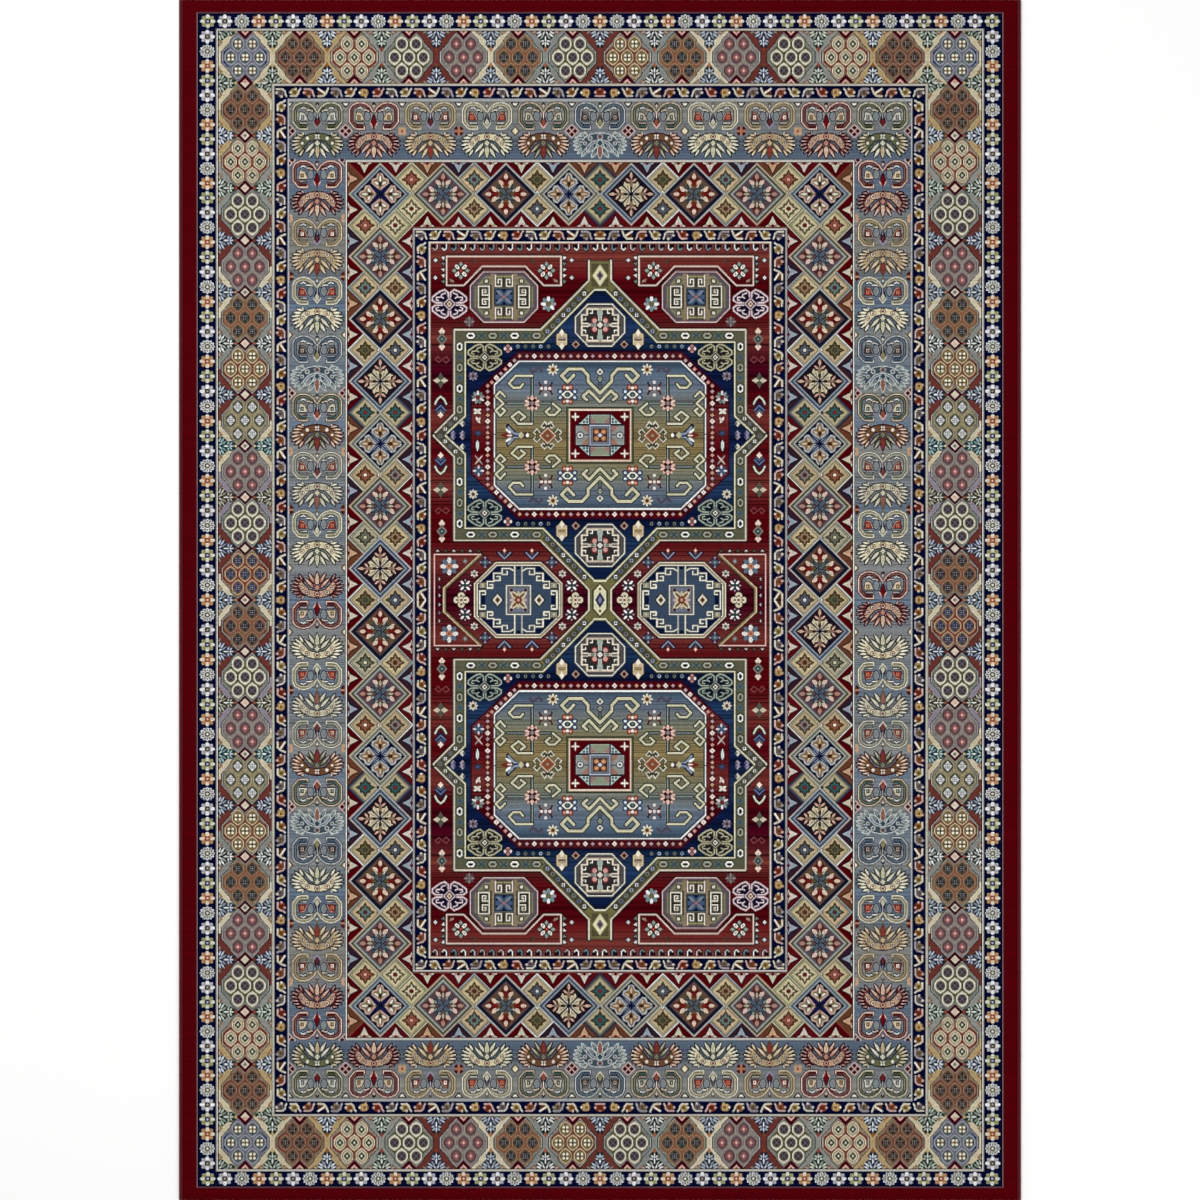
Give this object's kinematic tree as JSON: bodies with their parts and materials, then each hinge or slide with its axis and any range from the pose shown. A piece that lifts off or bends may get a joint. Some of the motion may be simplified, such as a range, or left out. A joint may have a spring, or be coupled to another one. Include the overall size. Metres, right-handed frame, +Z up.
{
  "type": "area rug",
  "caption": "Flat rectangular woven area rug with a dense cut pile, serged long sides and taped ends, for covering a floor.",
  "frame": {"origin": "centre of the rug's footprint, on its underside", "axes": "+Z up out of the pile, +Y along the rug's length, +X across its width"},
  "size_m": [2.388, 3.404, 0.0125],
  "materials": {
    "pile_yarn": "matt cut pile of heat-set yarn, woven in claret, navy, slate blue, cream, gold, sage, brick and charcoal",
    "ground_yarn": "matt ribbed jute weft on a cotton warp",
    "latex": "satin rolled latex coat",
    "cord_polyester": "matt twisted cord",
    "serging_yarn": "matt overcast yarn, claret",
    "hem_tape": "matt herringbone cotton tape",
    "hem_thread": "matt sewing thread",
    "label_fabric": "satin blank label ribbon",
    "label_thread": "matt sewing thread"
  },
  "bodies": {
    "root": {"pile": "pile_yarn", "ground_weave": "ground_yarn", "latex_backcoat": "latex", "selvedge_cord_left": "cord_polyester", "selvedge_cord_right": "cord_polyester", "side_serging_left": "serging_yarn", "side_serging_right": "serging_yarn", "hem_tape_near": "hem_tape", "hem_tape_far": "hem_tape", "hem_stitch_near_inner": "hem_thread", "hem_stitch_near_outer": "hem_thread", "hem_stitch_far_inner": "hem_thread", "hem_stitch_far_outer": "hem_thread", "care_label": "label_fabric", "care_label_tack": "label_thread"}
  },
  "joints": []
}
